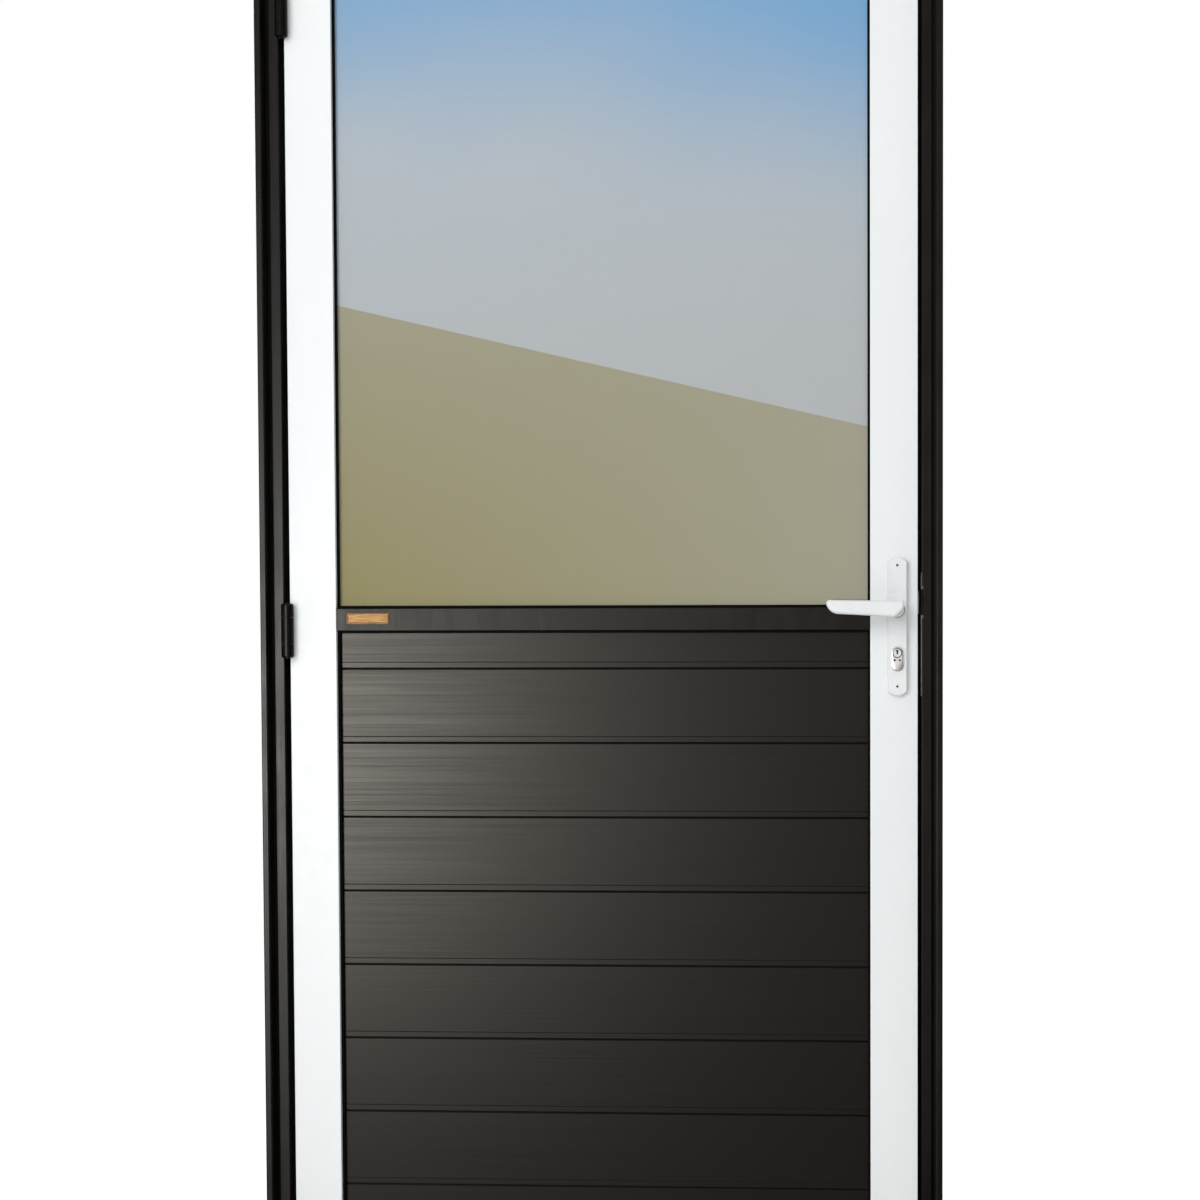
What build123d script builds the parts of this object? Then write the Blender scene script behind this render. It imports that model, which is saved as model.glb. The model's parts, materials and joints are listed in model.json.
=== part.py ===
from build123d import *
import os

os.makedirs("parts", exist_ok=True)

# A half-glazed door in an aluminium frame, in millimetres.
# X runs from the hinge side's wall face to the lock side's, Y into the door, Z up from the floor line.
# Y 0 is the outer face of the leaf and of the frame's band, and the viewer stands on the -Y side.

# Whole frame
frame_width = 900.0
frame_height = 2100.0

# Frame profile
frame_wall = 1.8
lip_width = 8.5
lip_proud = 20.0
lip_round = 1.5
groove_width = 5.5
groove_depth = 8.0
band_width = 13.5
band_round = 1.0
stop_leg_width = 14.0
stop_leg_thickness = 4.0
seal_thickness = 3.7
seal_width = 8.0
seal_gap = 0.3

# Gaps round the leaf
hinge_gap = 8.0
lock_gap = 5.0
head_gap = 5.0
sill_gap = 5.0

# Leaf profiles
leaf_depth = 44.0
leaf_wall = 1.8
leaf_round = 0.8
stile_box = 44.0
stile_leg = 18.0
leg_thickness = 8.0
top_rail_box = 44.0
top_rail_leg = 18.0
bottom_rail_box = 55.0
bottom_rail_leg = 18.0
mid_rail_box = 13.6
mid_rail_leg = 8.0
mid_rail_centre = 1064.2

# Glass, planks and what holds them
glass_gasket = 3.0
glass_thickness = 6.0
panel_gasket = 6.0
plank_thickness = 12.0
back_gasket = 3.0
gasket_show = 3.5
gasket_side_gap = 1.5
infill_side_gap = 3.0
infill_end_gap = 2.0
bead_wall = 1.5
bead_joint = 0.4

# Planks
plank_pitch = 99.0
first_joint_height = 206.7
plank_wall = 1.2
vee_depth = 1.6
tongue_thickness = 3.2
tongue_length = 6.0
tongue_side_gap = 0.2
tongue_end_gap = 0.8
bead_line_rise = 8.0
bead_line_width = 1.0
bead_line_depth = 0.35

# Hinges
hinge_from_end = 203.0
hinge_length = 72.0
barrel_diameter = 16.8
barrel_stand_off = 9.2
barrel_past_leaf_edge = 1.4
barrel_chamfer = 2.0
hinge_plate = 2.5
hinge_plate_depth = 31.0
knuckle_share = 0.25
knuckle_gap = 0.4
knuckle_overlap = 1.0
pin_diameter = 8.0
pin_running_gap = 0.05
pin_proud = 0.6

# Lock set
spindle_setback = 26.6
spindle_height = 1075.7
spindle_size = 8.0
spindle_fit = 0.1
plate_width = 26.5
plate_thickness = 8.5
plate_chamfer = 1.6
plate_end_rise = 6.0
plate_corner_round = 2.5
plate_length = 181.5
plate_above_spindle = 68.8
top_screw_inset = 10.5
bottom_screw_inset = 12.5
plate_screw_hole = 5.0
plate_screw_head = 8.4
neck_diameter = 19.6
neck_gap = 0.3
neck_in_plate = 5.0
collar_width = 2.6
collar_thickness = 1.6
lever_length = 92.0
lever_above_spindle = 1.8
lever_tilt = 1.0
lever_heel = 8.5
heel_cut_start = -2.5
heel_cut_end = 3.5
heel_cut_bulge = 0.8
lever_height = 20.6
lever_tip_height = 18.2
lever_tip_radius = 5.0
lever_tip_sweep = 17.0
lever_thickness = 14.0
lever_stand_off = 41.0
lever_round = 4.0
neck_chamfer = 2.0
spindle_end_wall = 3.0
cylinder_width = 15.4
cylinder_height = 31.0
cylinder_drop = 56.4
cylinder_proud = 3.0
cylinder_gap = 0.3
plug_diameter = 12.4
plug_ring = 0.6
plug_ring_depth = 0.8
keyway_width = 2.2
keyway_height = 8.0
keyway_depth = 8.0

# Lock case, latch and keep
case_thickness = 15.0
case_below_spindle = 95.7
case_above_spindle = 49.3
case_side_gap = 0.5
follower_diameter = 12.0
faceplate_width = 22.0
faceplate_thickness = 2.8
faceplate_overhang = 20.0
slot_gap = 0.2
latch_thickness = 12.0
latch_height = 30.0
latch_above_spindle = 9.8
latch_proud = 1.5
latch_hidden = 14.0
keep_height = 163.5
keep_below_latch = 42.4
keep_width = 30.0
keep_front = 0.6
keep_thickness = 2.8
keep_proud = 0.8
keep_round = 2.0
keep_mouth_gap = 2.0
notch_width = 6.8
notch_height = 42.0
notch_round = 3.0
lock_screw_hole = 4.5
lock_screw_inset = 9.0

# Fixing holes through the jambs into the wall
fixing_hole = 9.0
fixing_depth = 36.0
fixing_low = 400.0
fixing_high = 1700.0

# Places that follow from the sizes above
frame_face = lip_width + groove_width + band_width
stop_front = leaf_depth + seal_gap + seal_thickness
frame_depth = stop_front + stop_leg_thickness
leaf_left = frame_face + hinge_gap
leaf_right = frame_width - frame_face - lock_gap
leaf_bottom = frame_face + sill_gap
leaf_top = frame_height - frame_face - head_gap
stile_width = stile_box + stile_leg
box_left = leaf_left + stile_box
box_right = leaf_right - stile_box
sight_left = leaf_left + stile_width
sight_right = leaf_right - stile_width
mid_box_bottom = mid_rail_centre - mid_rail_box / 2
mid_box_top = mid_rail_centre + mid_rail_box / 2
bottom_box_top = leaf_bottom + bottom_rail_box
top_box_bottom = leaf_top - top_rail_box
glass_front = leg_thickness + glass_gasket
glass_back = glass_front + glass_thickness
plank_front = leg_thickness + panel_gasket
plank_back = plank_front + plank_thickness
hinge_heights = [leaf_bottom + hinge_from_end, (leaf_bottom + leaf_top) / 2, leaf_top - hinge_from_end]
spindle_x = leaf_right - spindle_setback
plate_top = spindle_height + plate_above_spindle
plate_bottom = plate_top - plate_length
case_bottom = spindle_height - case_below_spindle
case_top = spindle_height + case_above_spindle
latch_height_centre = spindle_height + latch_above_spindle
keep_centre = latch_height_centre - keep_below_latch
cylinder_centre = spindle_height - cylinder_drop - (cylinder_height - cylinder_width) / 2
plug_height = spindle_height - cylinder_drop
case_front = (leaf_depth - case_thickness) / 2
case_back = case_front + case_thickness
pin_x = leaf_left - barrel_past_leaf_edge


def save(name, shape):
    export_step(shape, f"parts/{name}.step")


def block(x0, x1, y0, y1, z0, z1):
    return Pos((x0 + x1) / 2, (y0 + y1) / 2, (z0 + z1) / 2) * Box(x1 - x0, y1 - y0, z1 - z0)


def outline(points):
    return make_face(Polyline(*points, close=True))


def corners_at(face, places):
    found = []
    for place in places:
        target = Vector(*place, 0)
        found.append(min(face.vertices(), key=lambda v: (Vector(*v) - target).length))
    return found


def tube_section(points, wall, rounded, radius):
    # a closed wall that follows the outline, with the corners that show rounded
    outer = outline(points)
    inner = offset(outer, amount=-wall, kind=Kind.INTERSECTION)
    outer = fillet(corners_at(outer, rounded), radius)
    return outer - inner


def along_y(y0, y1, sketch):
    # a sketch drawn in X and Z, as seen from the front, between two depths
    plane = Plane(origin=(0, y1, 0), x_dir=(1, 0, 0), z_dir=(0, -1, 0))
    return extrude(plane * sketch, amount=y1 - y0)


def ring(x0, x1, z0, z1, inset_side, inset_bottom, inset_top, y0, y1):
    outer = block(x0, x1, y0, y1, z0, z1)
    inner = block(x0 + inset_side, x1 - inset_side, y0, y1, z0 + inset_bottom, z1 - inset_top)
    return outer - inner


def stadium(width, height):
    return Rectangle(width, height - width) + [
        Pos(0, side * (height - width) / 2) * Circle(width / 2) for side in (-1, 1)
    ]


# Frame

def frame_section():
    lip_to = lip_width + groove_width
    hollow_part = [
        (0, -lip_proud), (lip_width, -lip_proud), (lip_width, groove_depth), (lip_to, groove_depth),
        (lip_to, 0), (frame_face, 0), (frame_face, frame_depth), (0, frame_depth),
    ]
    outer = outline(hollow_part)
    inner = offset(outer, amount=-frame_wall, kind=Kind.INTERSECTION)
    outer = fillet(corners_at(outer, [(0, -lip_proud), (lip_width, -lip_proud)]), lip_round)
    outer = fillet(corners_at(outer, [(lip_to, 0), (frame_face, 0)]), band_round)
    leg = outline([
        (frame_face, stop_front), (frame_face + stop_leg_width, stop_front),
        (frame_face + stop_leg_width, frame_depth), (frame_face, frame_depth),
    ])
    return outer - inner + leg


def frame_member(length):
    # a length of the frame profile with its wall face on X 0 and both ends cut at 45 degrees
    reach = frame_face + stop_leg_width
    bar = extrude(frame_section(), amount=length)
    mitre = outline([(0, 0), (reach, reach), (reach, length - reach), (0, length)])
    return bar & along_y(-lip_proud, frame_depth, mitre)


def hole_along_x(x0, x1, y, z, diameter):
    return Pos((x0 + x1) / 2, y, z) * Cylinder(diameter / 2, x1 - x0, rotation=(0, 90, 0))


def fixing_holes(x0, x1):
    return [hole_along_x(x0, x1, fixing_depth, height, fixing_hole) for height in (fixing_low, fixing_high)]


def make_frame():
    jamb = frame_member(frame_height)
    hinge_jamb = jamb - fixing_holes(0, frame_face)
    lock_jamb = mirror(jamb, about=Plane.YZ.offset(frame_width / 2))
    lock_jamb = lock_jamb - fixing_holes(frame_width - frame_face, frame_width)
    lock_jamb = lock_jamb - keep_recess()
    head = Pos(0, 0, frame_height) * Rot(0, 90, 0) * frame_member(frame_width)
    sill = mirror(head, about=Plane.XY.offset(frame_height / 2))
    save("hinge_jamb", hinge_jamb)
    save("lock_jamb", lock_jamb)
    save("head", head)
    save("sill", sill)

    seal_start = frame_face + stop_leg_width - seal_width
    seal = ring(
        seal_start, frame_width - seal_start, seal_start, frame_height - seal_start,
        seal_width, seal_width, seal_width, stop_front - seal_thickness, stop_front,
    )
    save("frame_seal", seal)


# Keep for the latch, in the lock jamb

def keep_face():
    return frame_width - frame_face - keep_proud


def keep_recess():
    face = frame_width - frame_face
    seat = block(
        face, keep_face() + keep_thickness, keep_front - slot_gap, keep_front + keep_width + slot_gap,
        keep_centre - keep_height / 2 - slot_gap, keep_centre + keep_height / 2 + slot_gap,
    )
    notch = Pos(face, latch_height_centre) * RectangleRounded(2 * notch_width, notch_height, notch_round)
    return [seat, along_y(0, keep_front + slot_gap, notch)]


def make_keep():
    # a flat plate whose mouth is open to the front, so that the latch can ride in
    start = keep_face()
    end = start + keep_thickness
    plate = block(
        start, end, keep_front, keep_front + keep_width,
        keep_centre - keep_height / 2, keep_centre + keep_height / 2,
    )
    plate = fillet(plate.edges().filter_by(Axis.X), keep_round)
    mouth_back = leaf_depth / 2 + latch_thickness / 2 + keep_mouth_gap
    mouth_half = latch_height / 2 + keep_mouth_gap
    plate = plate - block(
        start, end, keep_front, mouth_back,
        latch_height_centre - mouth_half, latch_height_centre + mouth_half,
    )
    middle = keep_front + keep_width / 2
    for side in (-1, 1):
        height = keep_centre + side * (keep_height / 2 - lock_screw_inset)
        plate = plate - hole_along_x(start, end, middle, height, lock_screw_hole)
    save("strike_plate", plate)


# Leaf

def make_stiles():
    section = [
        (leaf_left, 0), (sight_left, 0), (sight_left, leg_thickness), (box_left, leg_thickness),
        (box_left, leaf_depth), (leaf_left, leaf_depth),
    ]
    face = tube_section(section, leaf_wall, [(leaf_left, 0), (sight_left, 0)], leaf_round)
    hinge_stile = Pos(0, 0, leaf_bottom) * extrude(face, amount=leaf_top - leaf_bottom)
    lock_stile = mirror(hinge_stile, about=Plane.YZ.offset((leaf_left + leaf_right) / 2))

    spindle_hole = Pos(spindle_x, spindle_height) * Circle(neck_diameter / 2 + neck_gap)
    cylinder_hole = Pos(spindle_x, cylinder_centre) * stadium(
        cylinder_width + 2 * cylinder_gap, cylinder_height + 2 * cylinder_gap
    )
    lock_stile = lock_stile - along_y(0, leaf_depth, spindle_hole)
    lock_stile = lock_stile - along_y(0, leaf_depth, cylinder_hole)
    lock_stile = lock_stile - block(
        leaf_right - faceplate_thickness, leaf_right,
        (leaf_depth - faceplate_width) / 2 - slot_gap, (leaf_depth + faceplate_width) / 2 + slot_gap,
        case_bottom - faceplate_overhang - slot_gap, case_top + faceplate_overhang + slot_gap,
    )
    save("hinge_stile", hinge_stile)
    save("lock_stile", lock_stile)


def rail(points, rounded):
    # a rail's section is drawn in Y and Z, and its front is cut back to pass behind the stiles' legs
    face = tube_section(points, leaf_wall, rounded, leaf_round)
    bar = Pos(box_left, 0, 0) * extrude(Plane.YZ * face, amount=box_right - box_left)
    for start, end in ((box_left, sight_left), (sight_right, box_right)):
        bar = bar - block(start, end, 0, leg_thickness, leaf_bottom, leaf_top)
    return bar


def make_rails():
    sight = leaf_top - top_rail_box - top_rail_leg
    top = rail([
        (0, leaf_top), (0, sight), (leg_thickness, sight), (leg_thickness, top_box_bottom),
        (leaf_depth, top_box_bottom), (leaf_depth, leaf_top),
    ], [(0, leaf_top), (0, sight)])
    save("top_rail", top)

    sight = bottom_box_top + bottom_rail_leg
    bottom = rail([
        (0, leaf_bottom), (0, sight), (leg_thickness, sight), (leg_thickness, bottom_box_top),
        (leaf_depth, bottom_box_top), (leaf_depth, leaf_bottom),
    ], [(0, leaf_bottom), (0, sight)])
    save("bottom_rail", bottom)

    low = mid_box_bottom - mid_rail_leg
    high = mid_box_top + mid_rail_leg
    middle = rail([
        (0, low), (leg_thickness, low), (leg_thickness, mid_box_bottom), (leaf_depth, mid_box_bottom),
        (leaf_depth, mid_box_top), (leg_thickness, mid_box_top), (leg_thickness, high), (0, high),
    ], [(0, low), (0, high)])
    save("mid_rail", middle)


# Glass, planks, gaskets and beads

def gaskets(name, low, high, low_leg, high_leg, front, back, behind):
    # one ring between the legs and the infill, and one between the infill and the beads
    left = box_left + gasket_side_gap
    right = box_right - gasket_side_gap
    bottom = low + gasket_side_gap
    top = high - gasket_side_gap
    side = stile_leg - gasket_side_gap + gasket_show
    under = low_leg - gasket_side_gap + gasket_show
    over = high_leg - gasket_side_gap + gasket_show
    save(f"{name}_gasket_front", ring(left, right, bottom, top, side, under, over, leg_thickness, front))
    save(f"{name}_gasket_back", ring(left, right, bottom, top, side, under, over, back, behind))


def bead(x0, x1, y0, z0, z1, upright):
    # a square tube that clips into the pocket behind the infill
    outer = block(x0, x1, y0, leaf_depth, z0, z1)
    if upright:
        return outer - block(x0 + bead_wall, x1 - bead_wall, y0 + bead_wall, leaf_depth - bead_wall, z0, z1)
    return outer - block(x0, x1, y0 + bead_wall, leaf_depth - bead_wall, z0 + bead_wall, z1 - bead_wall)


def beads(name, low, high, low_leg, high_leg, start):
    left_inner = box_left + stile_leg
    right_inner = box_right - stile_leg
    pieces = [
        bead(box_left, left_inner, start, low, high, True),
        bead(right_inner, box_right, start, low, high, True),
        bead(left_inner + bead_joint, right_inner - bead_joint, start, low, low + low_leg, False),
        bead(left_inner + bead_joint, right_inner - bead_joint, start, high - high_leg, high, False),
    ]
    save(f"{name}_beads", Compound(children=pieces))


def make_glass():
    pane = block(
        box_left + infill_side_gap, box_right - infill_side_gap, glass_front, glass_back,
        mid_box_top + infill_end_gap, top_box_bottom - infill_side_gap,
    )
    save("glass_pane", pane)
    behind = glass_back + back_gasket
    gaskets("glass", mid_box_top, top_box_bottom, mid_rail_leg, top_rail_leg, glass_front, glass_back, behind)
    beads("glass", mid_box_top, top_box_bottom, mid_rail_leg, top_rail_leg, behind)


def plank_section(low, high, first, last):
    # drawn in Y and Z: a hollow board with a V joint to the front, a groove below and a tongue on top
    front = plank_front
    back = plank_back
    middle = (front + back) / 2
    half = tongue_thickness / 2
    foot = [(front, low)] if first else [(front + vee_depth, low), (front, low + vee_depth)]
    crown = [(front, high)] if last else [(front, high - vee_depth), (front + vee_depth, high)]
    board = outline(foot + crown + [(back, high), (back, low)])
    slot_half = half + tongue_side_gap
    slot_top = low + tongue_length + tongue_end_gap
    floor = low + plank_wall
    if not first:
        floor = slot_top + plank_wall
        board = board - outline([
            (middle - slot_half, low), (middle - slot_half, slot_top),
            (middle + slot_half, slot_top), (middle + slot_half, low),
        ])
        line = low + bead_line_rise
        board = board - outline([
            (front, line), (front + bead_line_depth, line + bead_line_width / 2),
            (front, line + bead_line_width),
        ])
    ceiling = high - plank_wall - (0 if last else vee_depth)
    if ceiling - floor > plank_wall:
        board = board - outline([
            (front + plank_wall, floor), (front + plank_wall, ceiling),
            (back - plank_wall, ceiling), (back - plank_wall, floor),
        ])
    if not last:
        board = board + outline([
            (middle - half, high), (middle - half, high + tongue_length),
            (middle + half, high + tongue_length), (middle + half, high),
        ])
    return board


def make_planks():
    bottom = bottom_box_top + infill_end_gap
    top = mid_box_bottom - infill_end_gap
    levels = [bottom]
    height = first_joint_height
    while height < top - vee_depth:
        levels.append(height)
        height += plank_pitch
    levels.append(top)
    left = box_left + infill_side_gap
    length = box_right - infill_side_gap - left
    for index in range(len(levels) - 1):
        last = index == len(levels) - 2
        section = plank_section(levels[index], levels[index + 1], index == 0, last)
        plank = Pos(left, 0, 0) * extrude(Plane.YZ * section, amount=length)
        save(f"plank_{index + 1:02d}", plank)
    behind = plank_back + back_gasket
    gaskets("panel", bottom_box_top, mid_box_bottom, bottom_rail_leg, mid_rail_leg,
            plank_front, plank_back, behind)
    beads("panel", bottom_box_top, mid_box_bottom, bottom_rail_leg, mid_rail_leg, behind)


# Hinges

def knuckle(low, high, free_end, bore):
    body = Pos(pin_x, -barrel_stand_off, (low + high) / 2) * Cylinder(barrel_diameter / 2, high - low)
    if free_end:
        ends = body.edges().filter_by(GeomType.CIRCLE).sort_by(Axis.Z)
        body = chamfer(ends[-1] if free_end > 0 else ends[0], barrel_chamfer)
    hole = Pos(pin_x, -barrel_stand_off, (low + high) / 2) * Cylinder(bore / 2, high - low)
    return body - hole


def hinge_neck(start_x, low, high):
    # the strip that joins a hinge's flat plate to its knuckle
    neck = block(start_x, start_x + hinge_plate, -barrel_stand_off, 0, low, high)
    return neck - Pos(pin_x, -barrel_stand_off, (low + high) / 2) * Cylinder(
        barrel_diameter / 2 - knuckle_overlap, high - low
    )


def make_hinge(name, centre):
    low = centre - hinge_length / 2
    high = centre + hinge_length / 2
    lower_split = low + knuckle_share * hinge_length
    upper_split = high - knuckle_share * hinge_length
    frame_bore = pin_diameter
    leaf_bore = pin_diameter + 2 * pin_running_gap

    frame_side = block(frame_face, frame_face + hinge_plate, 0, hinge_plate_depth, low, high)
    bottom_knuckle = knuckle(low, lower_split, -1, frame_bore)
    top_knuckle = knuckle(upper_split, high, 1, frame_bore)
    for start, end in ((low + barrel_chamfer, lower_split), (upper_split, high - barrel_chamfer)):
        frame_side = frame_side + hinge_neck(frame_face, start, end)
    frame_side = frame_side + bottom_knuckle + top_knuckle
    save(f"{name}_frame_leaf", frame_side)

    door_side = block(leaf_left - hinge_plate, leaf_left, 0, hinge_plate_depth, low, high)
    middle_low = lower_split + knuckle_gap
    middle_high = upper_split - knuckle_gap
    door_side = door_side + hinge_neck(leaf_left - hinge_plate, middle_low, middle_high)
    door_side = door_side + knuckle(middle_low, middle_high, 0, leaf_bore)
    save(f"{name}_door_leaf", door_side)

    pin = Pos(pin_x, -barrel_stand_off, centre) * Cylinder(pin_diameter / 2, hinge_length + 2 * pin_proud)
    save(f"{name}_pin", pin)


def make_hinges():
    for name, centre in zip(("bottom_hinge", "middle_hinge", "top_hinge"), hinge_heights):
        make_hinge(name, centre)


# Lock set

def screw_heights():
    return (plate_bottom + bottom_screw_inset, plate_top - top_screw_inset)


def other_side(shape):
    return mirror(shape, about=Plane.XZ.offset(-leaf_depth / 2))


def plate_outline():
    # straight sides, and ends that rise in a shallow arc between rounded corners
    left = spindle_x - plate_width / 2
    right = spindle_x + plate_width / 2
    low = plate_bottom + plate_end_rise
    high = plate_top - plate_end_rise
    edges = Curve() + [
        Line((left, low), (left, high)),
        ThreePointArc((left, high), (spindle_x, plate_top), (right, high)),
        Line((right, high), (right, low)),
        ThreePointArc((right, low), (spindle_x, plate_bottom), (left, low)),
    ]
    face = make_face(edges)
    return fillet(face.vertices(), plate_corner_round)


def make_plates():
    plate = along_y(-plate_thickness, 0, plate_outline())
    front_edges = plate.faces().sort_by(Axis.Y)[0].edges()
    plate = chamfer(front_edges, plate_chamfer)
    collar = Pos(spindle_x, spindle_height) * Circle(neck_diameter / 2 + neck_gap + collar_width)
    plate = plate + along_y(-plate_thickness - collar_thickness, -plate_thickness, collar)
    bore = Pos(spindle_x, spindle_height) * Circle(neck_diameter / 2 + neck_gap)
    plate = plate - along_y(-plate_thickness - collar_thickness, 0, bore)
    opening = Pos(spindle_x, cylinder_centre) * stadium(
        cylinder_width + 2 * cylinder_gap, cylinder_height + 2 * cylinder_gap
    )
    plate = plate - along_y(-plate_thickness, 0, opening)
    sink = (plate_screw_head - plate_screw_hole) / 2
    for height in screw_heights():
        hole = Pos(spindle_x, height) * Circle(plate_screw_hole / 2)
        plate = plate - along_y(-plate_thickness, 0, hole)
        cone = Cone(plate_screw_hole / 2, plate_screw_head / 2, sink, rotation=(90, 0, 0))
        plate = plate - Pos(spindle_x, -plate_thickness + sink / 2, height) * cone
    save("outside_plate", plate)
    save("inside_plate", other_side(plate))


def lever_outline():
    # a heel cut away below, so that the neck shows, then a bar that thins to a swept-up tip
    top = lever_above_spindle + lever_height / 2
    bottom = lever_above_spindle - lever_height / 2
    tip_bottom = top - lever_tip_height
    upper_start = (lever_tip_radius - lever_length, top)
    nose = (-lever_length, top - lever_tip_radius)
    lower_end = (lever_tip_sweep - lever_length, tip_bottom)
    heel_low = Vector(heel_cut_start, bottom)
    heel_high = Vector(lever_heel, heel_cut_end)
    across = (heel_high - heel_low).normalized()
    heel_middle = (heel_low + heel_high) / 2 + Vector(across.Y, -across.X) * heel_cut_bulge
    edges = Curve() + [
        ThreePointArc(heel_low, heel_middle, heel_high),
        Line(heel_high, (lever_heel, top)),
        Line((lever_heel, top), upper_start),
        TangentArc(upper_start, nose, tangent=(-1, 0)),
        TangentArc(lower_end, nose, tangent=(-1, 0)),
        Line(lower_end, heel_low),
    ]
    return Pos(spindle_x, spindle_height) * Rot(0, 0, -lever_tilt) * make_face(edges)


def make_levers():
    back = -lever_stand_off
    bar = along_y(back - lever_thickness, back, lever_outline())
    bar = fillet(bar.faces().sort_by(Axis.Y)[0].edges(), lever_round)
    neck_end = -plate_thickness + neck_in_plate
    neck = along_y(back - lever_round, neck_end, Pos(spindle_x, spindle_height) * Circle(neck_diameter / 2))
    neck = chamfer(neck.faces().sort_by(Axis.Y)[0].edges(), neck_chamfer)
    lever = bar + neck
    socket_side = spindle_size + 2 * spindle_fit
    socket_end = back - lever_thickness + spindle_end_wall
    socket = Pos(spindle_x, spindle_height) * Rectangle(socket_side, socket_side)
    lever = lever - along_y(socket_end, neck_end, socket)
    save("outside_lever", lever)
    save("inside_lever", other_side(lever))

    spindle_end = socket_end + spindle_fit
    spindle = Pos(spindle_x, spindle_height) * Rectangle(spindle_size, spindle_size)
    save("spindle", along_y(spindle_end, leaf_depth - spindle_end, spindle))


def make_cylinder():
    front = -plate_thickness - cylinder_proud
    back = leaf_depth - front
    body = along_y(front, back, Pos(spindle_x, cylinder_centre) * stadium(cylinder_width, cylinder_height))
    plug = Pos(spindle_x, plug_height)
    ring_cut = plug * (Circle(plug_diameter / 2) - Circle(plug_diameter / 2 - plug_ring))
    key_cut = plug * Rectangle(keyway_width, keyway_height)
    for face, side in ((front, 1), (back, -1)):
        ring_end = face + side * plug_ring_depth
        key_end = face + side * keyway_depth
        body = body - along_y(min(face, ring_end), max(face, ring_end), ring_cut)
        body = body - along_y(min(face, key_end), max(face, key_end), key_cut)
    save("lock_cylinder", body)


def make_case():
    face = leaf_right - faceplate_thickness
    case = block(box_right + leaf_wall + case_side_gap, face, case_front, case_back, case_bottom, case_top)
    follower = Pos(spindle_x, spindle_height) * Circle(follower_diameter / 2)
    case = case - along_y(case_front, case_back, follower)
    passage = Pos(spindle_x, cylinder_centre) * stadium(
        cylinder_width + 2 * cylinder_gap, cylinder_height + 2 * cylinder_gap
    )
    case = case - along_y(case_front, case_back, passage)
    latch_room = latch_hole(face - latch_hidden, face)
    save("lock_case", case - latch_room)

    plate = block(
        face, leaf_right, (leaf_depth - faceplate_width) / 2, (leaf_depth + faceplate_width) / 2,
        case_bottom - faceplate_overhang, case_top + faceplate_overhang,
    )
    plate = plate - latch_hole(face, leaf_right)
    low = case_bottom - faceplate_overhang + lock_screw_inset
    high = case_top + faceplate_overhang - lock_screw_inset
    for height in (low, high):
        plate = plate - hole_along_x(face, leaf_right, leaf_depth / 2, height, lock_screw_hole)
    save("lock_faceplate", plate)

    latch = block(
        face - latch_hidden, leaf_right + latch_proud,
        (leaf_depth - latch_thickness) / 2, (leaf_depth + latch_thickness) / 2,
        latch_height_centre - latch_height / 2, latch_height_centre + latch_height / 2,
    )
    nose = latch.edges().filter_by(Axis.Z).group_by(Axis.X)[-1].sort_by(Axis.Y)[-1]
    save("latch_bolt", chamfer(nose, latch_proud, latch_thickness / 2))


def latch_hole(x0, x1):
    return block(
        x0, x1, (leaf_depth - latch_thickness) / 2 - slot_gap, (leaf_depth + latch_thickness) / 2 + slot_gap,
        latch_height_centre - latch_height / 2 - slot_gap, latch_height_centre + latch_height / 2 + slot_gap,
    )


make_frame()
make_keep()
make_stiles()
make_rails()
make_glass()
make_planks()
make_hinges()
make_plates()
make_levers()
make_cylinder()
make_case()
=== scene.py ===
import json
import math

import bpy
from mathutils import Matrix, Vector


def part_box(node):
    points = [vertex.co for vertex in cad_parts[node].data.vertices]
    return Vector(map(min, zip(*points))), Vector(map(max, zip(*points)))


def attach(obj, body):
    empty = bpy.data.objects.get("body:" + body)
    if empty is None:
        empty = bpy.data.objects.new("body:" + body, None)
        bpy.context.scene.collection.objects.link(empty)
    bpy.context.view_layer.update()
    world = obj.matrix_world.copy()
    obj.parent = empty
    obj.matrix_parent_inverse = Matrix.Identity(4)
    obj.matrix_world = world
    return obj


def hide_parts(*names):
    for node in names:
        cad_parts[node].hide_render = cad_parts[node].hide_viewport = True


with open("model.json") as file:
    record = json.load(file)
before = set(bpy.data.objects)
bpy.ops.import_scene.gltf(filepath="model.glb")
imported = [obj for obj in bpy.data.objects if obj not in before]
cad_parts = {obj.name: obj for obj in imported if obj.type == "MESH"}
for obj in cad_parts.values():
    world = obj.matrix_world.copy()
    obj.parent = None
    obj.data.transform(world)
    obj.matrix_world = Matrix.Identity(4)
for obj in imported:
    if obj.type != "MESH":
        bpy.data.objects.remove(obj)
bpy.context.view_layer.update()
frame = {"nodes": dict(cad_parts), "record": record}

MM = 0.001
LOW, HIGH = 0, 1
X, Y, Z = 0, 1, 2
FRONT, BACK = -1, 1
HINGE_SIDE, LOCK_SIDE = -1, 1


def middle_of(node):
    low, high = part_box(node)
    return [(low[axis] + high[axis]) / 2 for axis in (X, Y, Z)]


# Finishes. Every pattern is placed in metres on the door itself.

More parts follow.
